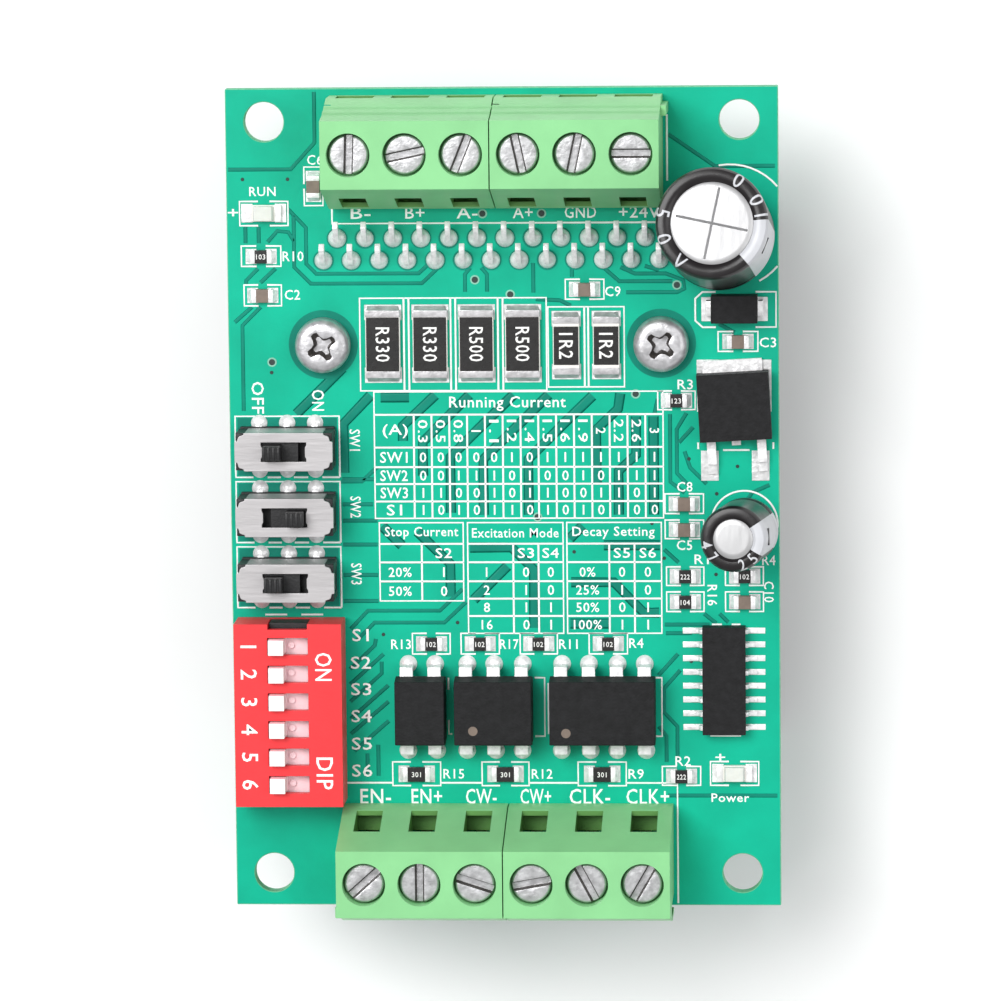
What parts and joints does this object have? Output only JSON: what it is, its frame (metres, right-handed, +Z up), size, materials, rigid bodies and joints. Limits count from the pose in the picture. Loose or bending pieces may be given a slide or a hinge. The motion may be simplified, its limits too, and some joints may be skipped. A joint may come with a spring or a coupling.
{
  "type": "stepper driver module",
  "caption": "Stepper driver module: circuit board with rising-cage screw terminals, slide and DIP switches, capacitors and optocouplers, clamped to a finned heat sink.",
  "frame": {"origin": "on the plane of the heat sink's fin tips, under the centre of the circuit board", "axes": "+Z up, square to the board; +Y along the board's length towards the motor and supply terminals; +X across the board, away from the switches"},
  "size_m": [0.05, 0.0757, 0.0352],
  "materials": {
    "solder_mask_laminate": "glossy teal green solder mask over glass laminate",
    "terminal_plastic": "satin light green moulded nylon",
    "zinc_plated_steel": "bright zinc plate",
    "tinned_brass": "dull tin plate over brass",
    "red_plastic": "satin red moulding with printed digits",
    "white_plastic": "satin white moulding",
    "black_plastic": "matt black moulding",
    "nickel_sheet": "nickel plated sheet steel",
    "capacitor_sleeve": "shrink sleeve over a drawn aluminium can",
    "moulded_epoxy": "fine-grained moulded epoxy with tinned leads",
    "anodised_aluminium": "black anodised extrusion, sawn ends",
    "led_lens": "clear to milky lens on a white substrate"
  },
  "bodies": {
    "module": {"circuit_board": "solder_mask_laminate", "heat_sink": "anodised_aluminium", "driver_chip": "moulded_epoxy", "clamp_screw_left": "zinc_plated_steel", "clamp_screw_right": "zinc_plated_steel", "terminal_housing_back_left": "terminal_plastic", "terminal_housing_back_right": "terminal_plastic", "terminal_housing_front_left": "terminal_plastic", "terminal_housing_front_right": "terminal_plastic", "dip_switch_base": "black_plastic", "dip_switch_cover": "red_plastic", "slide_switch_1_base": "black_plastic", "slide_switch_1_frame": "nickel_sheet", "slide_switch_2_base": "black_plastic", "slide_switch_2_frame": "nickel_sheet", "slide_switch_3_base": "black_plastic", "slide_switch_3_frame": "nickel_sheet", "supply_capacitor": "capacitor_sleeve", "output_capacitor": "capacitor_sleeve", "optocoupler_4_pin": "moulded_epoxy", "optocoupler_6_pin": "moulded_epoxy", "optocoupler_8_pin": "moulded_epoxy", "logic_chip": "moulded_epoxy", "voltage_regulator": "moulded_epoxy", "protection_diode": "moulded_epoxy", "run_led": "led_lens", "power_led": "led_lens"},
    "screw_b_minus": {"terminal_screw_b_minus": "zinc_plated_steel"},
    "cage_b_minus": {"clamp_cage_b_minus": "tinned_brass"},
    "screw_b_plus": {"terminal_screw_b_plus": "zinc_plated_steel"},
    "cage_b_plus": {"clamp_cage_b_plus": "tinned_brass"},
    "screw_a_minus": {"terminal_screw_a_minus": "zinc_plated_steel"},
    "cage_a_minus": {"clamp_cage_a_minus": "tinned_brass"},
    "screw_a_plus": {"terminal_screw_a_plus": "zinc_plated_steel"},
    "cage_a_plus": {"clamp_cage_a_plus": "tinned_brass"},
    "screw_ground": {"terminal_screw_ground": "zinc_plated_steel"},
    "cage_ground": {"clamp_cage_ground": "tinned_brass"},
    "screw_supply": {"terminal_screw_supply": "zinc_plated_steel"},
    "cage_supply": {"clamp_cage_supply": "tinned_brass"},
    "screw_enable_minus": {"terminal_screw_enable_minus": "zinc_plated_steel"},
    "cage_enable_minus": {"clamp_cage_enable_minus": "tinned_brass"},
    "screw_enable_plus": {"terminal_screw_enable_plus": "zinc_plated_steel"},
    "cage_enable_plus": {"clamp_cage_enable_plus": "tinned_brass"},
    "screw_direction_minus": {"terminal_screw_direction_minus": "zinc_plated_steel"},
    "cage_direction_minus": {"clamp_cage_direction_minus": "tinned_brass"},
    "screw_direction_plus": {"terminal_screw_direction_plus": "zinc_plated_steel"},
    "cage_direction_plus": {"clamp_cage_direction_plus": "tinned_brass"},
    "screw_pulse_minus": {"terminal_screw_pulse_minus": "zinc_plated_steel"},
    "cage_pulse_minus": {"clamp_cage_pulse_minus": "tinned_brass"},
    "screw_pulse_plus": {"terminal_screw_pulse_plus": "zinc_plated_steel"},
    "cage_pulse_plus": {"clamp_cage_pulse_plus": "tinned_brass"},
    "slider_1": {"dip_slider_1": "white_plastic"},
    "slider_2": {"dip_slider_2": "white_plastic"},
    "slider_3": {"dip_slider_3": "white_plastic"},
    "slider_4": {"dip_slider_4": "white_plastic"},
    "slider_5": {"dip_slider_5": "white_plastic"},
    "slider_6": {"dip_slider_6": "white_plastic"},
    "knob_1": {"slide_switch_1_knob": "black_plastic"},
    "knob_2": {"slide_switch_2_knob": "black_plastic"},
    "knob_3": {"slide_switch_3_knob": "black_plastic"}
  },
  "joints": [
    {"name": "turn_screw_b_minus", "type": "hinge", "parent": "module", "child": "screw_b_minus", "pos_m": [-0.01299, 0.03226, 0.0183], "axis": [0, 0, 1], "range_deg": [-1728, 0]},
    {"name": "lift_cage_b_minus", "type": "slide", "parent": "module", "child": "cage_b_minus", "axis": [0, 0, 1], "range_m": [0, 0.0024]},
    {"name": "turn_screw_b_plus", "type": "hinge", "parent": "module", "child": "screw_b_plus", "pos_m": [-0.00799, 0.03226, 0.0183], "axis": [0, 0, 1], "range_deg": [-1728, 0]},
    {"name": "lift_cage_b_plus", "type": "slide", "parent": "module", "child": "cage_b_plus", "axis": [0, 0, 1], "range_m": [0, 0.0024]},
    {"name": "turn_screw_a_minus", "type": "hinge", "parent": "module", "child": "screw_a_minus", "pos_m": [-0.00299, 0.03226, 0.0183], "axis": [0, 0, 1], "range_deg": [-1728, 0]},
    {"name": "lift_cage_a_minus", "type": "slide", "parent": "module", "child": "cage_a_minus", "axis": [0, 0, 1], "range_m": [0, 0.0024]},
    {"name": "turn_screw_a_plus", "type": "hinge", "parent": "module", "child": "screw_a_plus", "pos_m": [0.00211, 0.03226, 0.0183], "axis": [0, 0, 1], "range_deg": [-1728, 0]},
    {"name": "lift_cage_a_plus", "type": "slide", "parent": "module", "child": "cage_a_plus", "axis": [0, 0, 1], "range_m": [0, 0.0024]},
    {"name": "turn_screw_ground", "type": "hinge", "parent": "module", "child": "screw_ground", "pos_m": [0.00711, 0.03226, 0.0183], "axis": [0, 0, 1], "range_deg": [-1728, 0]},
    {"name": "lift_cage_ground", "type": "slide", "parent": "module", "child": "cage_ground", "axis": [0, 0, 1], "range_m": [0, 0.0024]},
    {"name": "turn_screw_supply", "type": "hinge", "parent": "module", "child": "screw_supply", "pos_m": [0.01211, 0.03226, 0.0183], "axis": [0, 0, 1], "range_deg": [-1728, 0]},
    {"name": "lift_cage_supply", "type": "slide", "parent": "module", "child": "cage_supply", "axis": [0, 0, 1], "range_m": [0, 0.0024]},
    {"name": "turn_screw_enable_minus", "type": "hinge", "parent": "module", "child": "screw_enable_minus", "pos_m": [-0.01241, -0.03353, 0.0183], "axis": [0, 0, 1], "range_deg": [-1728, 0]},
    {"name": "lift_cage_enable_minus", "type": "slide", "parent": "module", "child": "cage_enable_minus", "axis": [0, 0, 1], "range_m": [0, 0.0024]},
    {"name": "turn_screw_enable_plus", "type": "hinge", "parent": "module", "child": "screw_enable_plus", "pos_m": [-0.00741, -0.03353, 0.0183], "axis": [0, 0, 1], "range_deg": [-1728, 0]},
    {"name": "lift_cage_enable_plus", "type": "slide", "parent": "module", "child": "cage_enable_plus", "axis": [0, 0, 1], "range_m": [0, 0.0024]},
    {"name": "turn_screw_direction_minus", "type": "hinge", "parent": "module", "child": "screw_direction_minus", "pos_m": [-0.00241, -0.03353, 0.0183], "axis": [0, 0, 1], "range_deg": [-1728, 0]},
    {"name": "lift_cage_direction_minus", "type": "slide", "parent": "module", "child": "cage_direction_minus", "axis": [0, 0, 1], "range_m": [0, 0.0024]},
    {"name": "turn_screw_direction_plus", "type": "hinge", "parent": "module", "child": "screw_direction_plus", "pos_m": [0.00269, -0.03353, 0.0183], "axis": [0, 0, 1], "range_deg": [-1728, 0]},
    {"name": "lift_cage_direction_plus", "type": "slide", "parent": "module", "child": "cage_direction_plus", "axis": [0, 0, 1], "range_m": [0, 0.0024]},
    {"name": "turn_screw_pulse_minus", "type": "hinge", "parent": "module", "child": "screw_pulse_minus", "pos_m": [0.00769, -0.03353, 0.0183], "axis": [0, 0, 1], "range_deg": [-1728, 0]},
    {"name": "lift_cage_pulse_minus", "type": "slide", "parent": "module", "child": "cage_pulse_minus", "axis": [0, 0, 1], "range_m": [0, 0.0024]},
    {"name": "turn_screw_pulse_plus", "type": "hinge", "parent": "module", "child": "screw_pulse_plus", "pos_m": [0.01269, -0.03353, 0.0183], "axis": [0, 0, 1], "range_deg": [-1728, 0]},
    {"name": "lift_cage_pulse_plus", "type": "slide", "parent": "module", "child": "cage_pulse_plus", "axis": [0, 0, 1], "range_m": [0, 0.0024]},
    {"name": "dip_1_on", "type": "slide", "parent": "module", "child": "slider_1", "axis": [1, 0, 0], "range_m": [0, 0.002]},
    {"name": "dip_2_on", "type": "slide", "parent": "module", "child": "slider_2", "axis": [1, 0, 0], "range_m": [0, 0.002]},
    {"name": "dip_3_on", "type": "slide", "parent": "module", "child": "slider_3", "axis": [1, 0, 0], "range_m": [0, 0.002]},
    {"name": "dip_4_on", "type": "slide", "parent": "module", "child": "slider_4", "axis": [1, 0, 0], "range_m": [0, 0.002]},
    {"name": "dip_5_on", "type": "slide", "parent": "module", "child": "slider_5", "axis": [1, 0, 0], "range_m": [0, 0.002]},
    {"name": "dip_6_on", "type": "slide", "parent": "module", "child": "slider_6", "axis": [1, 0, 0], "range_m": [0, 0.002]},
    {"name": "slide_switch_1_throw", "type": "slide", "parent": "module", "child": "knob_1", "axis": [1, 0, 0], "range_m": [0, 0.002]},
    {"name": "slide_switch_2_throw", "type": "slide", "parent": "module", "child": "knob_2", "axis": [-1, 0, 0], "range_m": [0, 0.002]},
    {"name": "slide_switch_3_throw", "type": "slide", "parent": "module", "child": "knob_3", "axis": [1, 0, 0], "range_m": [0, 0.002]}
  ],
  "couplings": [
    {"joint": "turn_screw_b_minus", "follows": "lift_cage_b_minus", "rad_per_m": -12566},
    {"joint": "turn_screw_b_plus", "follows": "lift_cage_b_plus", "rad_per_m": -12566},
    {"joint": "turn_screw_a_minus", "follows": "lift_cage_a_minus", "rad_per_m": -12566},
    {"joint": "turn_screw_a_plus", "follows": "lift_cage_a_plus", "rad_per_m": -12566},
    {"joint": "turn_screw_ground", "follows": "lift_cage_ground", "rad_per_m": -12566},
    {"joint": "turn_screw_supply", "follows": "lift_cage_supply", "rad_per_m": -12566},
    {"joint": "turn_screw_enable_minus", "follows": "lift_cage_enable_minus", "rad_per_m": -12566},
    {"joint": "turn_screw_enable_plus", "follows": "lift_cage_enable_plus", "rad_per_m": -12566},
    {"joint": "turn_screw_direction_minus", "follows": "lift_cage_direction_minus", "rad_per_m": -12566},
    {"joint": "turn_screw_direction_plus", "follows": "lift_cage_direction_plus", "rad_per_m": -12566},
    {"joint": "turn_screw_pulse_minus", "follows": "lift_cage_pulse_minus", "rad_per_m": -12566},
    {"joint": "turn_screw_pulse_plus", "follows": "lift_cage_pulse_plus", "rad_per_m": -12566}
  ]
}
